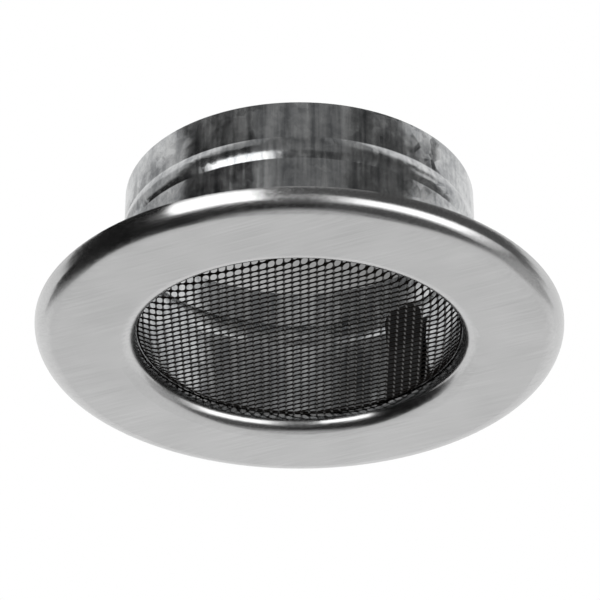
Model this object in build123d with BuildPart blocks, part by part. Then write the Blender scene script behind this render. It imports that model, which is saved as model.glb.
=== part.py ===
from build123d import *
from math import asin, cos, degrees, hypot, radians, sin, sqrt, tan
import os

# Round warm-air outlet for a ceiling or wall: a pressed stainless front with a black
# expanded-metal dish and two spring clips, pushed into a beaded galvanised duct collar.
# Lengths are millimetres. The front lies face down on Z = 0, with its centre at the
# origin, and the collar stands up along +Z.

# Front ring, one stainless blank with both edges rolled back
face_diameter = 180.0
ring_sheet = 0.8
rim_roll = 7.6  # outside radius of the rolled outer edge
lip_roll = 6.0  # outside radius of the rolled inner edge
lip_depth = 8.3  # front face to the cut end of the inner lip

# Duct collar, a rolled strip of galvanised sheet with one outward bead
collar_diameter = 122.0  # goes into a nominal 125 mm duct
collar_sheet = 0.6
collar_top = 60.6
bead_height = 42.6  # middle of the bead above the front face
bead_width = 8.6
bead_rise = 0.85
bead_foot = 0.8  # radius where the bead runs out into the wall
lap_width = 10.0  # overlap of the strip's two ends
lap_angle = 118.0  # direction of the visible cut end, from +X

# Mesh dish, expanded steel pressed into a shallow pan with its floor to the front
mesh_sheet = 0.6
mesh_recess = 3.5  # front face to the dish floor
mesh_slope = 35.0  # degrees that the dish wall rises from its floor
mesh_bend = 5.0  # bend between floor and wall
mesh_rim = 7.8  # front face to the middle of the dish's cut edge
mesh_border = 1.6  # uncut margin along that edge
long_pitch = 15.3  # cells drawn three times as coarse as the real sheet
short_pitch = 10.2
strand = 1.7
gap_blunt = 0.5  # cut off each sharp end of a gap, where the strands join
mesh_angle = -56.5  # direction of the long way of the cells, from +X

# Spring clips, leaves of strip steel on the back of the lip
clip_angle = 50.0  # direction of the first clip from +X, the second is opposite
clip_count = 2
clip_width = 16.0
clip_sheet = 0.6
clip_knee = 9.4  # where the leaf leaves the lip
clip_nose = 30.0  # height of the nose that lies along the collar's wall
clip_top = 45.0
clip_tip = 1.6  # the free end leans in this far from the nose
clip_corner = 5.0  # rounding of the free end's corners
clip_bend = 12.0
clip_knee_bend = 8.0

# Clearances
weld_gap = 0.2  # between pieces that are tacked together
slide_gap = 0.3  # between the front and the collar that it pulls out of
lip_setback = 4.7  # from the collar's inner wall to the lip's inner wall

# Radii that follow from the sizes above
face_radius = face_diameter / 2
collar_outer = collar_diameter / 2
collar_inner = collar_outer - collar_sheet
throat = collar_inner - lip_setback  # inner wall of the lip
lap_inner = collar_inner - collar_sheet

# The collar stands on the back of the lip's roll, a slide gap clear of it
roll_offset = throat + lip_roll - lap_inner
collar_foot = lip_roll - sqrt((lip_roll - ring_sheet) ** 2 - roll_offset**2) + slide_gap


def collar_wall(mid_radius, angle):
    # Section of the rolled strip: straight wall, round bead between two tight feet, straight spigot
    low = bead_height - bead_width / 2
    high = bead_height + bead_width / 2
    crest = mid_radius + bead_rise
    both_radii = (bead_width**2 / 4 + bead_rise**2) / (2 * bead_rise)  # bead and foot together
    foot_share = bead_foot / both_radii
    flank = mid_radius + bead_rise * foot_share
    flank_low = low + bead_width / 2 * foot_share
    flank_high = high - bead_width / 2 * foot_share
    with BuildSketch(Plane.XZ.rotated((0, 0, angle))) as section:
        with BuildLine():
            Line((mid_radius, collar_foot), (mid_radius, low))
            TangentArc((mid_radius, low), (flank, flank_low), tangent=(0, 1))
            ThreePointArc((flank, flank_low), (crest, bead_height), (flank, flank_high))
            TangentArc((mid_radius, high), (flank, flank_high), tangent=(0, -1))
            Line((mid_radius, high), (mid_radius, collar_top))
        trace(line_width=collar_sheet)
    return section.sketch


def save(piece, name):
    piece.label = name
    export_step(piece, f"parts/{name}.step")


os.makedirs("parts", exist_ok=True)

# Front ring: flat face between two quarter rolls, the inner one ending in a straight lip
rim_flat = face_radius - rim_roll
lip_flat = throat + lip_roll
lip_back = throat + ring_sheet
with BuildPart() as front_ring:
    with BuildSketch(Plane.XZ):
        with BuildLine():
            Line((throat, lip_depth), (throat, lip_roll))
            TangentArc((throat, lip_roll), (lip_flat, 0), tangent=(0, -1))
            Line((lip_flat, 0), (rim_flat, 0))
            TangentArc((rim_flat, 0), (face_radius, rim_roll), tangent=(1, 0))
            Line((face_radius, rim_roll), (face_radius - ring_sheet, rim_roll))
            TangentArc((face_radius - ring_sheet, rim_roll), (rim_flat, ring_sheet), tangent=(0, -1))
            Line((rim_flat, ring_sheet), (lip_flat, ring_sheet))
            TangentArc((lip_flat, ring_sheet), (lip_back, lip_roll), tangent=(-1, 0))
            Line((lip_back, lip_roll), (lip_back, lip_depth))
            Line((lip_back, lip_depth), (throat, lip_depth))
        make_face()
    revolve(axis=Axis.Z)
save(front_ring.part, "front_ring")

# Mesh dish: flat floor, one bend and a sloping wall that ends inside the lip
dish_edge = throat - weld_gap - mesh_sheet / 2 * sin(radians(mesh_slope))
dish_floor = mesh_recess + mesh_sheet / 2
dish_corner = dish_edge - (mesh_rim - dish_floor) / tan(radians(mesh_slope))
gap_field = dish_edge - mesh_border
cell_half_angle = asin(short_pitch / hypot(short_pitch, long_pitch))
gap_half_long = long_pitch / 2 - strand / 2 / sin(cell_half_angle)
gap_half_short = short_pitch / 2 - strand / 2 / cos(cell_half_angle)
blunt_long = gap_half_long - gap_blunt
blunt_short = gap_half_short * (1 - blunt_long / gap_half_long)
gap_outline = [
    (blunt_long, -blunt_short),
    (blunt_long, blunt_short),
    (0, gap_half_short),
    (-blunt_long, blunt_short),
    (-blunt_long, -blunt_short),
    (0, -gap_half_short),
]

# Cells stand in staggered rows, and those on the border are cut short by it
rows = int(2 * gap_field / short_pitch) + 1
columns = int(gap_field / long_pitch) + 1
gap_centres = []
for row in range(-rows, rows + 1):
    for column in range(-columns, columns + 1):
        along = (column + row % 2 / 2) * long_pitch
        across = row * short_pitch / 2
        if hypot(along, across) < gap_field:
            gap_centres.append((along, across))

with BuildPart() as mesh_screen:
    with BuildSketch(Plane.XZ):
        with BuildLine():
            FilletPolyline((0, dish_floor), (dish_corner, dish_floor), (dish_edge, mesh_rim), radius=mesh_bend)
        trace(line_width=mesh_sheet)
    revolve(axis=Axis.Z)
    with BuildSketch(Plane.XY.rotated((0, 0, mesh_angle))):
        with Locations(*gap_centres):
            Polygon(*gap_outline)
        Circle(gap_field, mode=Mode.INTERSECT)
    extrude(amount=mesh_rim + mesh_sheet, mode=Mode.SUBTRACT)
save(mesh_screen.part, "mesh_screen")

# Spring clips: foot on the back of the lip, leaf out to the wall, free end leaning in again
foot_radius = throat + ring_sheet + weld_gap + clip_sheet / 2
nose_corner = collar_inner - slide_gap
nose_radius = sqrt(nose_corner**2 - (clip_width / 2) ** 2) - clip_sheet / 2
clip_path = [
    (foot_radius, lip_roll),
    (foot_radius, clip_knee),
    (nose_radius, clip_nose),
    (nose_radius - clip_tip, clip_top),
]
clip_names = ["spring_clip_right", "spring_clip_left"]
for index, clip_name in enumerate(clip_names):
    with BuildPart() as spring_clip:
        with BuildSketch(Plane.XZ.rotated((0, 0, clip_angle + index * 360 / clip_count))):
            with BuildLine():
                FilletPolyline(*clip_path, radius=[clip_knee_bend, clip_bend])
            trace(line_width=clip_sheet)
        extrude(amount=clip_width / 2, both=True)
        cut_ends = spring_clip.edges().filter_by(lambda edge: abs(edge.length - clip_sheet) < clip_sheet / 10)
        fillet(cut_ends.group_by(Axis.Z)[-1], radius=clip_corner)
    save(spring_clip.part, clip_name)

# Duct collar: the wall all round, and the lapped end of the strip on its inside
mid_radius = collar_outer - collar_sheet / 2
lap_arc = degrees(lap_width / collar_inner)
with BuildPart() as collar:
    add(collar_wall(mid_radius, 0))
    revolve(axis=Axis.Z)
    add(collar_wall(mid_radius - collar_sheet, lap_angle - lap_arc))
    revolve(axis=Axis.Z, revolution_arc=lap_arc)
save(collar.part, "collar")
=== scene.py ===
import bmesh
import bpy
import math
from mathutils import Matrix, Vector


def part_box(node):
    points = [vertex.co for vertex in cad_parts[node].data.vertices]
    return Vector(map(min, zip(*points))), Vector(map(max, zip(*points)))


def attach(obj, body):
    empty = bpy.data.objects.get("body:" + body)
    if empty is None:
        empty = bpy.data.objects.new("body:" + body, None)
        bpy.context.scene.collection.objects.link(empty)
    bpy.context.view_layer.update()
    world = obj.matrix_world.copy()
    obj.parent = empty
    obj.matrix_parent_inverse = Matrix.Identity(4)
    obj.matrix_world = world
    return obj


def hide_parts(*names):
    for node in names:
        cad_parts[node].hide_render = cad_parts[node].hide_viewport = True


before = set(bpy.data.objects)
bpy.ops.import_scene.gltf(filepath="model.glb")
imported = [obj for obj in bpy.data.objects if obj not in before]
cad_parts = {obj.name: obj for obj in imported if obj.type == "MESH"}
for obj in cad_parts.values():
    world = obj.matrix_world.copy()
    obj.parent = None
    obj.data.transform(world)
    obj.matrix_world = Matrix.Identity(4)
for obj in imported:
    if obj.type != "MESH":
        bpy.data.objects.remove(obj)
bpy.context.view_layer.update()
mm = 0.001
mixColourA, mixColourB, mixColourOut = 6, 7, 2  # a mix node's colour sockets share their names with others
print("frame loaded")


def hexColour(code):
    # sRGB hex to the linear colour that a shader socket takes
    channels = [int(code[i : i + 2], 16) / 255 for i in (0, 2, 4)]
    linear = [c / 12.92 if c <= 0.04045 else ((c + 0.055) / 1.055) ** 2.4 for c in channels]
    return (*linear, 1.0)


def addNode(tree, kind, settings=None, links=None):
    # One node with its properties and sockets set, and its inputs linked
    node = tree.nodes.new(kind)
    for name, value in (settings or {}).items():
        if isinstance(name, str) and hasattr(node, name):
            setattr(node, name, value)
        else:
            node.inputs[name].default_value = value
    for name, socket in (links or {}).items():
        tree.links.new(socket, node.inputs[name])
    return node


def newMaterial(name, settings):
    material = bpy.data.materials.new(name)
    material.use_nodes = True
    tree = material.node_tree
    shader = tree.nodes["Principled BSDF"]
    for socket, value in settings.items():
        shader.inputs[socket].default_value = value
    return material, tree, shader


def setMaterial(thing, material):
    thing.data.materials.clear()
    thing.data.materials.append(material)


# Brushed stainless: pale neutral grey, fine straight scratches that run on over both rolled edges
steel = {
    "colour": "cacaca",
    "darkColour": "b8b8b8",
    "roughness": 0.2,
    "roughnessSpread": 0.05,
    "anisotropy": 0.65,
    "grainAngle": math.radians(-26),
    "scratchWidth": 0.5 * mm,  # real scratches are finer, drawn wide enough to show
    "scratchLength": 30 * mm,
    "scratchDetail": 3.0,
    "scratchDepth": 0.002 * mm,
    "scratchStrength": 0.35,
    "cloudSize": 24 * mm,
    "cloudDetail": 2.0,
    "cloudShare": 0.3,
    "roughnessRange": (0.3, 0.7),  # stretch of the pattern that the roughness follows
    "toneRange": (0.35, 0.65),
}
steelMaterial, tree, shader = newMaterial("brushedStainless", {
    "Base Color": hexColour(steel["colour"]),
    "Metallic": 1.0,
    "Roughness": steel["roughness"],
    "Anisotropic": steel["anisotropy"],
})
place = addNode(tree, "ShaderNodeTexCoord")
grain = addNode(tree, "ShaderNodeMapping", {
    "vector_type": "TEXTURE",
    "Rotation": (0, 0, steel["grainAngle"]),
    "Scale": (steel["scratchLength"], steel["scratchWidth"], steel["scratchWidth"]),
}, {"Vector": place.outputs["Object"]})
scratches = addNode(tree, "ShaderNodeTexNoise", {
    "Scale": 1.0, "Detail": steel["scratchDetail"],
}, {"Vector": grain.outputs["Vector"]})
clouds = addNode(tree, "ShaderNodeTexNoise", {
    "Scale": 1 / steel["cloudSize"], "Detail": steel["cloudDetail"],
}, {"Vector": place.outputs["Object"]})
mixed = addNode(tree, "ShaderNodeMix", {"Factor": steel["cloudShare"]}, {
    "A": scratches.outputs["Fac"], "B": clouds.outputs["Fac"],
})
rough = addNode(tree, "ShaderNodeMapRange", {
    "From Min": steel["roughnessRange"][0], "From Max": steel["roughnessRange"][1],
    "To Min": steel["roughness"] - steel["roughnessSpread"],
    "To Max": steel["roughness"] + steel["roughnessSpread"],
}, {"Value": mixed.outputs["Result"]})
tree.links.new(rough.outputs["Result"], shader.inputs["Roughness"])
tone = addNode(tree, "ShaderNodeMapRange", {
    "From Min": steel["toneRange"][0], "From Max": steel["toneRange"][1],
}, {"Value": mixed.outputs["Result"]})
shade = addNode(tree, "ShaderNodeMix", {
    "data_type": "RGBA",
    mixColourA: hexColour(steel["darkColour"]),
    mixColourB: hexColour(steel["colour"]),
}, {"Factor": tone.outputs["Result"]})
tree.links.new(shade.outputs[mixColourOut], shader.inputs["Base Color"])
groove = addNode(tree, "ShaderNodeBump", {
    "Strength": steel["scratchStrength"], "Distance": steel["scratchDepth"],
}, {"Height": scratches.outputs["Fac"]})
tree.links.new(groove.outputs["Normal"], shader.inputs["Normal"])
across = addNode(tree, "ShaderNodeCombineXYZ", {
    "X": -math.sin(steel["grainAngle"]), "Y": math.cos(steel["grainAngle"]),
})
tree.links.new(across.outputs["Vector"], shader.inputs["Tangent"])
setMaterial(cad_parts["front_ring"], steelMaterial)
print("front ring finish made")

# Galvanised sheet: neutral grey zinc, mottled with small spangle, dull stains and lines drawn up the wall
zinc = {
    "colour": "d2d3d3",
    "darkColour": "8c8e90",
    "toneRange": (0.38, 0.62),  # stretch of the pattern between the two colours
    "roughness": 0.2,
    "roughnessSpread": 0.06,
    "spangle": 3.2 * mm,
    "spangleShare": 0.05,
    "crystalTilt": 0.06,  # lean of each spangle against its neighbours
    "lineWidth": 2.3 * mm,
    "lineLength": 40 * mm,
    "lineDetail": 3.0,
    "stainSize": 9 * mm,
    "stainDetail": 7.0,
    "stainRoughness": 0.7,
    "stainShares": (0.45, 0.8),  # stains against lines, in the middle and at the sides
    "middleReach": 20 * mm,
    "sideReach": 50 * mm,
    "waveSize": 7 * mm,
    "waveHeight": 0.06 * mm,
    "waveDetail": 2.0,
    "waveStrength": 0.6,
}
zincMaterial, tree, shader = newMaterial("galvanisedSteel", {
    "Base Color": hexColour(zinc["colour"]),
    "Metallic": 1.0,
    "Roughness": zinc["roughness"],
})
place = addNode(tree, "ShaderNodeTexCoord")
drawn = addNode(tree, "ShaderNodeMapping", {
    "vector_type": "TEXTURE",
    "Scale": (zinc["lineWidth"], zinc["lineWidth"], zinc["lineLength"]),
}, {"Vector": place.outputs["Object"]})
lines = addNode(tree, "ShaderNodeTexNoise", {
    "Scale": 1.0, "Detail": zinc["lineDetail"],
}, {"Vector": drawn.outputs["Vector"]})
stains = addNode(tree, "ShaderNodeTexNoise", {
    "Scale": 1 / zinc["stainSize"], "Detail": zinc["stainDetail"], "Roughness": zinc["stainRoughness"],
}, {"Vector": place.outputs["Object"]})
spangles = addNode(tree, "ShaderNodeTexVoronoi", {
    "Scale": 1 / zinc["spangle"],
}, {"Vector": place.outputs["Object"]})
grey = addNode(tree, "ShaderNodeSeparateColor", None, {"Color": spangles.outputs["Color"]})
# The drawn lines fade out towards both sides, where stains take over
position = addNode(tree, "ShaderNodeSeparateXYZ", None, {"Vector": place.outputs["Object"]})
sideways = addNode(tree, "ShaderNodeMath", {"operation": "ABSOLUTE"}, {0: position.outputs["X"]})
fading = addNode(tree, "ShaderNodeMapRange", {
    "From Min": zinc["middleReach"], "From Max": zinc["sideReach"],
    "To Min": zinc["stainShares"][0], "To Max": zinc["stainShares"][1],
}, {"Value": sideways.outputs["Value"]})
marks = addNode(tree, "ShaderNodeMix", None, {
    "Factor": fading.outputs["Result"], "A": lines.outputs["Fac"], "B": stains.outputs["Fac"],
})
patch = addNode(tree, "ShaderNodeMix", {"Factor": zinc["spangleShare"]}, {
    "A": marks.outputs["Result"], "B": grey.outputs["Red"],
})
tone = addNode(tree, "ShaderNodeMapRange", {
    "From Min": zinc["toneRange"][0], "From Max": zinc["toneRange"][1],
}, {"Value": patch.outputs["Result"]})
shade = addNode(tree, "ShaderNodeMix", {
    "data_type": "RGBA",
    mixColourA: hexColour(zinc["darkColour"]),
    mixColourB: hexColour(zinc["colour"]),
}, {"Factor": tone.outputs["Result"]})
tree.links.new(shade.outputs[mixColourOut], shader.inputs["Base Color"])
rough = addNode(tree, "ShaderNodeMapRange", {
    "To Min": zinc["roughness"] - zinc["roughnessSpread"],
    "To Max": zinc["roughness"] + zinc["roughnessSpread"],
}, {"Value": tone.outputs["Result"]})
tree.links.new(rough.outputs["Result"], shader.inputs["Roughness"])
waves = addNode(tree, "ShaderNodeTexNoise", {
    "Scale": 1 / zinc["waveSize"], "Detail": zinc["waveDetail"],
}, {"Vector": place.outputs["Object"]})
buckle = addNode(tree, "ShaderNodeBump", {
    "Strength": zinc["waveStrength"], "Distance": zinc["waveHeight"],
}, {"Height": waves.outputs["Fac"]})
# Each spangle's own colour, taken from 0..1 to either side of zero, leans its surface
lean = addNode(tree, "ShaderNodeVectorMath", {"operation": "SUBTRACT", 1: (0.5, 0.5, 0.5)}, {
    0: spangles.outputs["Color"],
})
tilted = addNode(tree, "ShaderNodeVectorMath", {
    "operation": "MULTIPLY_ADD", 1: (zinc["crystalTilt"],) * 3,
}, {0: lean.outputs["Vector"], 2: buckle.outputs["Normal"]})
facet = addNode(tree, "ShaderNodeVectorMath", {"operation": "NORMALIZE"}, {0: tilted.outputs["Vector"]})
tree.links.new(facet.outputs["Vector"], shader.inputs["Normal"])
setMaterial(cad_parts["collar"], zincMaterial)
print("collar finish made")

# Black stove enamel on the mesh: satin, with a warm brown tint in its darks and a painted glint along the
# strands of one direction
coat = {
    "colour": "0e0b09",
    "roughness": 0.4,
    "roughnessSpread": 0.08,
    "ior": 1.5,
    "sheen": 0.03,  # dull enamel, well below the gloss of a smooth lacquer
    "paintedGlintSheen": 0.9,  # painted glint: strands of one direction get a far higher gloss, standing in for light caught by their twisted faces
    "grainSize": 0.8 * mm,
    "grainDetail": 2.0,
    "bumpHeight": 0.03 * mm,
    "bumpStrength": 0.2,
}
coatMaterial, tree, shader = newMaterial("blackEnamel", {
    "Base Color": hexColour(coat["colour"]),
    "Roughness": coat["roughness"],
    "IOR": coat["ior"],
    "Specular IOR Level": coat["sheen"],
})
place = addNode(tree, "ShaderNodeTexCoord")
grain = addNode(tree, "ShaderNodeTexNoise", {
    "Scale": 1 / coat["grainSize"], "Detail": coat["grainDetail"],
}, {"Vector": place.outputs["Object"]})
rough = addNode(tree, "ShaderNodeMapRange", {
    "To Min": coat["roughness"] - coat["roughnessSpread"],
    "To Max": coat["roughness"] + coat["roughnessSpread"],
}, {"Value": grain.outputs["Fac"]})
tree.links.new(rough.outputs["Result"], shader.inputs["Roughness"])
skin = addNode(tree, "ShaderNodeBump", {
    "Strength": coat["bumpStrength"], "Distance": coat["bumpHeight"],
}, {"Height": grain.outputs["Fac"]})
tree.links.new(skin.outputs["Normal"], shader.inputs["Normal"])
# Painted glint: faces flagged on the strands of one direction take a far higher specular level, in place of
# light caught by their twisted faces
paintedGlint = addNode(tree, "ShaderNodeAttribute", {"attribute_name": "paintedGlint"})
gloss = addNode(tree, "ShaderNodeMapRange", {
    "To Min": coat["sheen"], "To Max": coat["paintedGlintSheen"],
}, {"Value": paintedGlint.outputs["Fac"]})
tree.links.new(gloss.outputs["Result"], shader.inputs["Specular IOR Level"])

# Blued spring strip: near black, drawn, with faint streaks along the leaf
spring = {
    "colour": "0d0c0c",
    "roughness": 0.4,
    "roughnessSpread": 0.1,
    "ior": 1.5,
    "sheen": 0.2,
    "streakWidth": 1.0 * mm,
    "streakLength": 20 * mm,
    "streakDetail": 2.0,
}
springMaterial, tree, shader = newMaterial("bluedSpringSteel", {
    "Base Color": hexColour(spring["colour"]),
    "Roughness": spring["roughness"],
    "IOR": spring["ior"],
    "Specular IOR Level": spring["sheen"],
})
place = addNode(tree, "ShaderNodeTexCoord")
drawn = addNode(tree, "ShaderNodeMapping", {
    "vector_type": "TEXTURE",
    "Scale": (spring["streakWidth"], spring["streakWidth"], spring["streakLength"]),
}, {"Vector": place.outputs["Object"]})
streaks = addNode(tree, "ShaderNodeTexNoise", {
    "Scale": 1.0, "Detail": spring["streakDetail"],
}, {"Vector": drawn.outputs["Vector"]})
rough = addNode(tree, "ShaderNodeMapRange", {
    "To Min": spring["roughness"] - spring["roughnessSpread"],
    "To Max": spring["roughness"] + spring["roughnessSpread"],
}, {"Value": streaks.outputs["Fac"]})
tree.links.new(rough.outputs["Result"], shader.inputs["Roughness"])
for name in ("spring_clip_right", "spring_clip_left"):
    setMaterial(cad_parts[name], springMaterial)
print("mesh and clip finishes made")

# Expanded mesh at its real pitch, pressed into the same dish as the solid: floor, bend, sloping wall
dish = {
    "longWay": 4.876 * mm,
    "shortWay": 3.252 * mm,
    "angle": math.radians(-56.53),  # direction of the long way, from +X
    "phase": (0.486 * mm, 0.672 * mm),  # one joint of the strands, from the middle
    "jointLength": 0.9 * mm,
    "strandWidth": 0.58 * mm,
    "tilt": -0.2,  # rise of each strand across its own width
    "thickness": 0.5 * mm,
    "sheet": 0.6 * mm,  # thickness of the solid dish, whose middle the mesh follows
    "slope": math.radians(35),
    "bend": 5.0 * mm,
    "overrun": 4.2 * mm,  # cells are laid out this far past the edge's radius, then gathered onto the edge
    "border": 0.7 * mm,  # uncut strip along the edge
    "borderSteps": 240,
    "mergeDistance": 0.02 * mm,  # shorter edges, left where strands are gathered, are dissolved
}
dishLow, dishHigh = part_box("mesh_screen")
floorHeight = dishLow.z + dish["sheet"] / 2
edgeRadius = dishHigh.x - dish["sheet"] / 2 * math.sin(dish["slope"])
edgeHeight = dishHigh.z - dish["sheet"] / 2 * math.cos(dish["slope"])

# The dish's section, from its middle to its edge
wallRise = edgeHeight - floorHeight
wallRun = wallRise / math.tan(dish["slope"])
bendCut = dish["bend"] * math.tan(dish["slope"] / 2)
bendArc = dish["bend"] * dish["slope"]
flatRadius = edgeRadius - wallRun - bendCut
edgeReach = flatRadius + bendArc + math.hypot(wallRun, wallRise) - bendCut


def dishPoint(x, y, height):
    # A point of the flat sheet, laid on the dish at the same distance along its surface
    reach = min(math.hypot(x, y), edgeReach)
    turn = min(max((reach - flatRadius) / dish["bend"], 0), dish["slope"])
    rest = max(reach - flatRadius - bendArc, 0)
    radius = min(reach, flatRadius) + dish["bend"] * math.sin(turn) + rest * math.cos(turn)
    level = floorHeight + dish["bend"] * (1 - math.cos(turn)) + rest * math.sin(turn)
    radius -= height * math.sin(turn)
    level += height * math.cos(turn)
    heading = math.atan2(y, x)
    return Vector((radius * math.cos(heading), radius * math.sin(heading), level))


def sheetPlace(along, across):
    # Distances along and across the long way of the cells, as a place on the flat sheet
    turnX, turnY = math.cos(dish["angle"]), math.sin(dish["angle"])
    startX, startY = dish["phase"]
    return startX + along * turnX - across * turnY, startY + along * turnY + across * turnX


def addStrands(sheet):
    # Joints stand on a staggered lattice, and each sends a strand up to both of its upper neighbours
    halfLong, halfShort = dish["longWay"] / 2, dish["shortWay"] / 2
    end, width = dish["jointLength"] / 2, dish["strandWidth"]
    limit = edgeRadius + dish["overrun"]
    span = int(limit / halfShort) + 2
    # Face flag that carries the painted glint of one strand direction
    paintedGlint = sheet.faces.layers.float.new("paintedGlint")
    joints = {}

    def jointEnd(along, across):
        return [
            sheet.verts.new(dishPoint(*sheetPlace(along, across + row), dish["tilt"] * row))
            for row in (-width, 0, width)
        ]

    for i in range(-span, span + 1):
        for j in range(-span, span + 1):
            along, across = i * halfLong, j * halfShort
            if (i + j) % 2 == 0 and math.hypot(*sheetPlace(along, across)) < limit:
                joints[i, j] = jointEnd(along - end, across), jointEnd(along + end, across)
    for (i, j), (left, right) in joints.items():
        sheet.faces.new((left[0], right[0], right[1], left[1]))
        sheet.faces.new((left[1], right[1], right[2], left[2]))
        if (i + 1, j + 1) in joints:
            far = joints[i + 1, j + 1][0]
            sheet.faces.new((right[1], far[0], far[1], right[2]))
        if (i - 1, j + 1) in joints:
            far = joints[i - 1, j + 1][1]
            strand = sheet.faces.new((left[2], far[1], far[0], left[1]))
            # this strand direction gets the painted glint in the enamel
            strand[paintedGlint] = 1.0


def addBorder(sheet):
    turns = [math.tau * step / dish["borderSteps"] for step in range(dish["borderSteps"])]
    inner, outer = ([
        sheet.verts.new(dishPoint(reach * math.cos(turn), reach * math.sin(turn), 0)) for turn in turns
    ] for reach in (edgeReach - dish["border"], edgeReach))
    for step in range(-1, len(turns) - 1):
        sheet.faces.new((inner[step], outer[step], outer[step + 1], inner[step + 1]))


def expandedMesh():
    sheet = bmesh.new()
    addStrands(sheet)
    addBorder(sheet)
    bmesh.ops.dissolve_degenerate(sheet, edges=sheet.edges, dist=dish["mergeDistance"])
    data = bpy.data.meshes.new("expandedMesh")
    sheet.to_mesh(data)
    sheet.free()
    piece = bpy.data.objects.new("expandedMesh", data)
    bpy.context.scene.collection.objects.link(piece)
    skin = piece.modifiers.new("sheet", "SOLIDIFY")
    skin.thickness = dish["thickness"]
    skin.offset = 0
    soften = piece.modifiers.new("soften", "SUBSURF")
    soften.levels = soften.render_levels = 1
    bpy.context.view_layer.objects.active = piece
    for modifier in ("sheet", "soften"):
        bpy.ops.object.modifier_apply(modifier=modifier)
    for face in piece.data.polygons:
        face.use_smooth = True
    return piece


meshPiece = expandedMesh()
setMaterial(meshPiece, coatMaterial)
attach(meshPiece, "front")
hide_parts("mesh_screen")
print("expanded mesh made:", len(meshPiece.data.polygons), "faces")

# Stage: pale floor well below the object and white surroundings
stage = {
    "floorLevel": -1.3,
    "floorSize": 24.0,
    "floorColour": "ececec",
    "floorRoughness": 0.7,
    "surroundColour": "ffffff",
    "surroundStrength": 1.0,
}


def stageMesh(name, points, faces, radiance=None):
    data = bpy.data.meshes.new(name)
    data.from_pydata(points, [], faces)
    thing = bpy.data.objects.new(name, data)
    bpy.context.scene.collection.objects.link(thing)
    if radiance is not None:
        material = bpy.data.materials.new(name)
        material.use_nodes = True
        tree = material.node_tree
        tree.nodes.clear()
        glow = addNode(tree, "ShaderNodeEmission", {"Color": hexColour("ffffff"), "Strength": radiance})
        addNode(tree, "ShaderNodeOutputMaterial", None, {"Surface": glow.outputs["Emission"]})
        setMaterial(thing, material)
    return thing


side, level = stage["floorSize"] / 2, stage["floorLevel"]
floor = stageMesh("floor", [
    (-side, -side, level), (side, -side, level), (side, side, level), (-side, side, level),
], [(0, 1, 2, 3)])
setMaterial(floor, newMaterial("paleFloor", {
    "Base Color": hexColour(stage["floorColour"]), "Roughness": stage["floorRoughness"],
})[0])

world = bpy.data.worlds.new("studio")
bpy.context.scene.world = world
world.use_nodes = True
world.node_tree.nodes.clear()
surround = addNode(world.node_tree, "ShaderNodeBackground", {
    "Color": hexColour(stage["surroundColour"]), "Strength": stage["surroundStrength"],
})
addNode(world.node_tree, "ShaderNodeOutputWorld", None, {"Surface": surround.outputs["Background"]})
print("floor and surroundings made")

# What the metal mirrors: boards and softboxes, patches of spheres round the object, hidden from the camera.
# Azimuth counts from the camera's side towards +X. Where two patches overlap, the nearer one is mirrored.
patchStep = math.radians(5)
boards = {
    # name: (radiance, azimuth from and to, elevation from and to, distance) in degrees and metres
    # in the duct's inside wall
    "boardLeft": (0.14, -86, -27, 20, 46, 1.2),
    "boardMiddle": (0.26, -28, -13, 22, 46, 1.21),
    "boardCentre": (0.48, -14, 14, 22, 46, 1.215),
    "boardRight": (0.3, 13, 72, 22, 46, 1.22),
    # in the bead's upper flank
    "boardOver": (0.2, -32, 26, 44, 88, 1.19),
    "boardOverLeft": (0.42, -68, -31, 46, 88, 1.195),
    "boardOverRight": (0.32, 25, 64, 46, 88, 1.195),
    # in the ring's rolled edges and the bead's lower flank
    "boardLowLeft": (0.006, -104, -47, -52, 26, 1.13),
    "boardTailLeft": (0.02, -116, -103, -50, -6, 1.16),
    "boardTipLeft": (0.28, -127, -115, -44, -10, 1.165),
    "boardLowRight": (0.1, -15, 98, -48, 23, 1.16),
    "boardSideRight": (0.14, 97, 104, -14, 14, 1.163),
    "boardSideTip": (0.3, 103, 113, -18, 4, 1.168),
    "boardTailRight": (0.45, 97, 108, -48, -6, 1.165),
    "boardTipRight": (0.5, 107, 126, -40, -8, 1.17),
    # in the same edges, next to the flat
    "boardBelowLeft": (0.02, -112, 16, -70, -26, 1.17),
    "boardBelowRight": (0.1, 15, 105, -68, -26, 1.171),
    "boardFade": (0.3, -120, 115, -78, -66, 1.175),
    "boardNadir": (0.62, -180, 180, -89, -77, 1.18),
    # in the flat
    "boardBack": (1.0, 110, 250, -25, -4, 1.2),
    # bright streaks in the rolled edges and the bead
    "softboxLeft": (2.6, -51, -15, -24, 21, 1.1),
    "softboxRight": (2.2, 20, 74, -34, -13, 1.12),
    "softboxRightEdge": (0.7, 11, 91, -40, -9, 1.14),
    "softboxGap": (0.3, -16, 12, -26, -8, 1.15),
    # close to the collar, in its outside and only a little in its inside
    "flagFarLeft": (0.6, -130, -60, 26, 41, 0.172),
    "flagLeftLow": (0.035, -66, -23, 24.5, 34, 0.17),
    "flagLeftHigh": (0.035, -62, -23, 33.5, 41, 0.17),
    "flagMiddle": (0.23, -23, 24, 24.5, 41, 0.171),
    "flagRightLow": (0.08, 24, 61, 24.5, 34.5, 0.17),
    "flagRightHigh": (0.09, 24, 80, 34, 41, 0.17),
    "flagFarRight": (0.9, 60, 102, 28.5, 41, 0.172),
}


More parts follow.
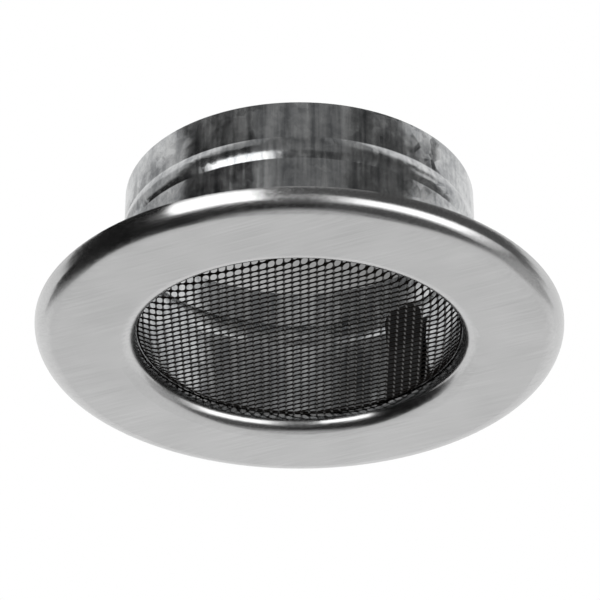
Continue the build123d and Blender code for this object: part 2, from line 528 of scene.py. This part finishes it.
def spherePatch(azimuth, azimuthEnd, elevation, elevationEnd, distance):
    columns = max(2, round((azimuthEnd - azimuth) / patchStep))
    rows = max(2, round((elevationEnd - elevation) / patchStep))
    points = []
    for row in range(rows + 1):
        up = elevation + (elevationEnd - elevation) * row / rows
        for column in range(columns + 1):
            turn = azimuth + (azimuthEnd - azimuth) * column / columns
            points.append((
                distance * math.sin(turn) * math.cos(up),
                -distance * math.cos(turn) * math.cos(up),
                distance * math.sin(up),
            ))
    faces = []
    for row in range(rows):
        for column in range(columns):
            corner = row * (columns + 1) + column
            faces.append((corner, corner + 1, corner + columns + 2, corner + columns + 1))
    return points, faces


for name, (radiance, *angles, distance) in boards.items():
    board = stageMesh(name, *spherePatch(*map(math.radians, angles), distance), radiance)
    board.visible_camera = False
    board.visible_shadow = False
    board.visible_diffuse = radiance > 1  # only what is brighter than white lights the dull pieces
print("boards and softboxes made:", len(boards))

# Camera below the front and in front of it, looking up at about thirty-one degrees
camera = {
    "place": (0, -0.7693, -0.4493),
    "aim": (0.0002, -0.00905, 0.01548),
    "lens": 157.46,
}
eyePlace, eyeAim = Vector(camera["place"]), Vector(camera["aim"])
lensData = bpy.data.cameras.new("camera")
lensData.lens = camera["lens"]
eye = bpy.data.objects.new("camera", lensData)
bpy.context.scene.collection.objects.link(eye)
eye.location = eyePlace
eye.rotation_euler = (eyeAim - eyePlace).to_track_quat("-Z", "Y").to_euler()
bpy.context.scene.camera = eye
bpy.context.scene.view_settings.view_transform = "Standard"
print("camera set")

# Grey card high behind the collar: from the front it is seen only through the open duct
card = {
    "radianceLeft": 0.5,
    "radianceRight": 0.17,
    "distance": 6.0,  # behind the point that the camera looks at
    "rise": 0.1,
    "width": 0.62,
    "height": 0.42,
}
sight = (eyeAim - eyePlace).normalized()
above = Vector((0, -sight.z, sight.y))
middle = eyeAim + sight * card["distance"] + above * card["rise"]
halfWidth, halfHeight = Vector((card["width"] / 2, 0, 0)), above * card["height"] / 2
greyCard = stageMesh("greyCard", [
    middle - halfWidth - halfHeight,
    middle + halfWidth - halfHeight,
    middle + halfWidth + halfHeight,
    middle - halfWidth + halfHeight,
], [(0, 1, 2, 3)], card["radianceLeft"])
tree = greyCard.data.materials[0].node_tree
place = addNode(tree, "ShaderNodeTexCoord")
split = addNode(tree, "ShaderNodeSeparateXYZ", None, {"Vector": place.outputs["Generated"]})
fade = addNode(tree, "ShaderNodeMapRange", {
    "To Min": card["radianceLeft"], "To Max": card["radianceRight"],
}, {"Value": split.outputs["X"]})
tree.links.new(fade.outputs["Result"], tree.nodes["Emission"].inputs["Strength"])
print("grey card hung")
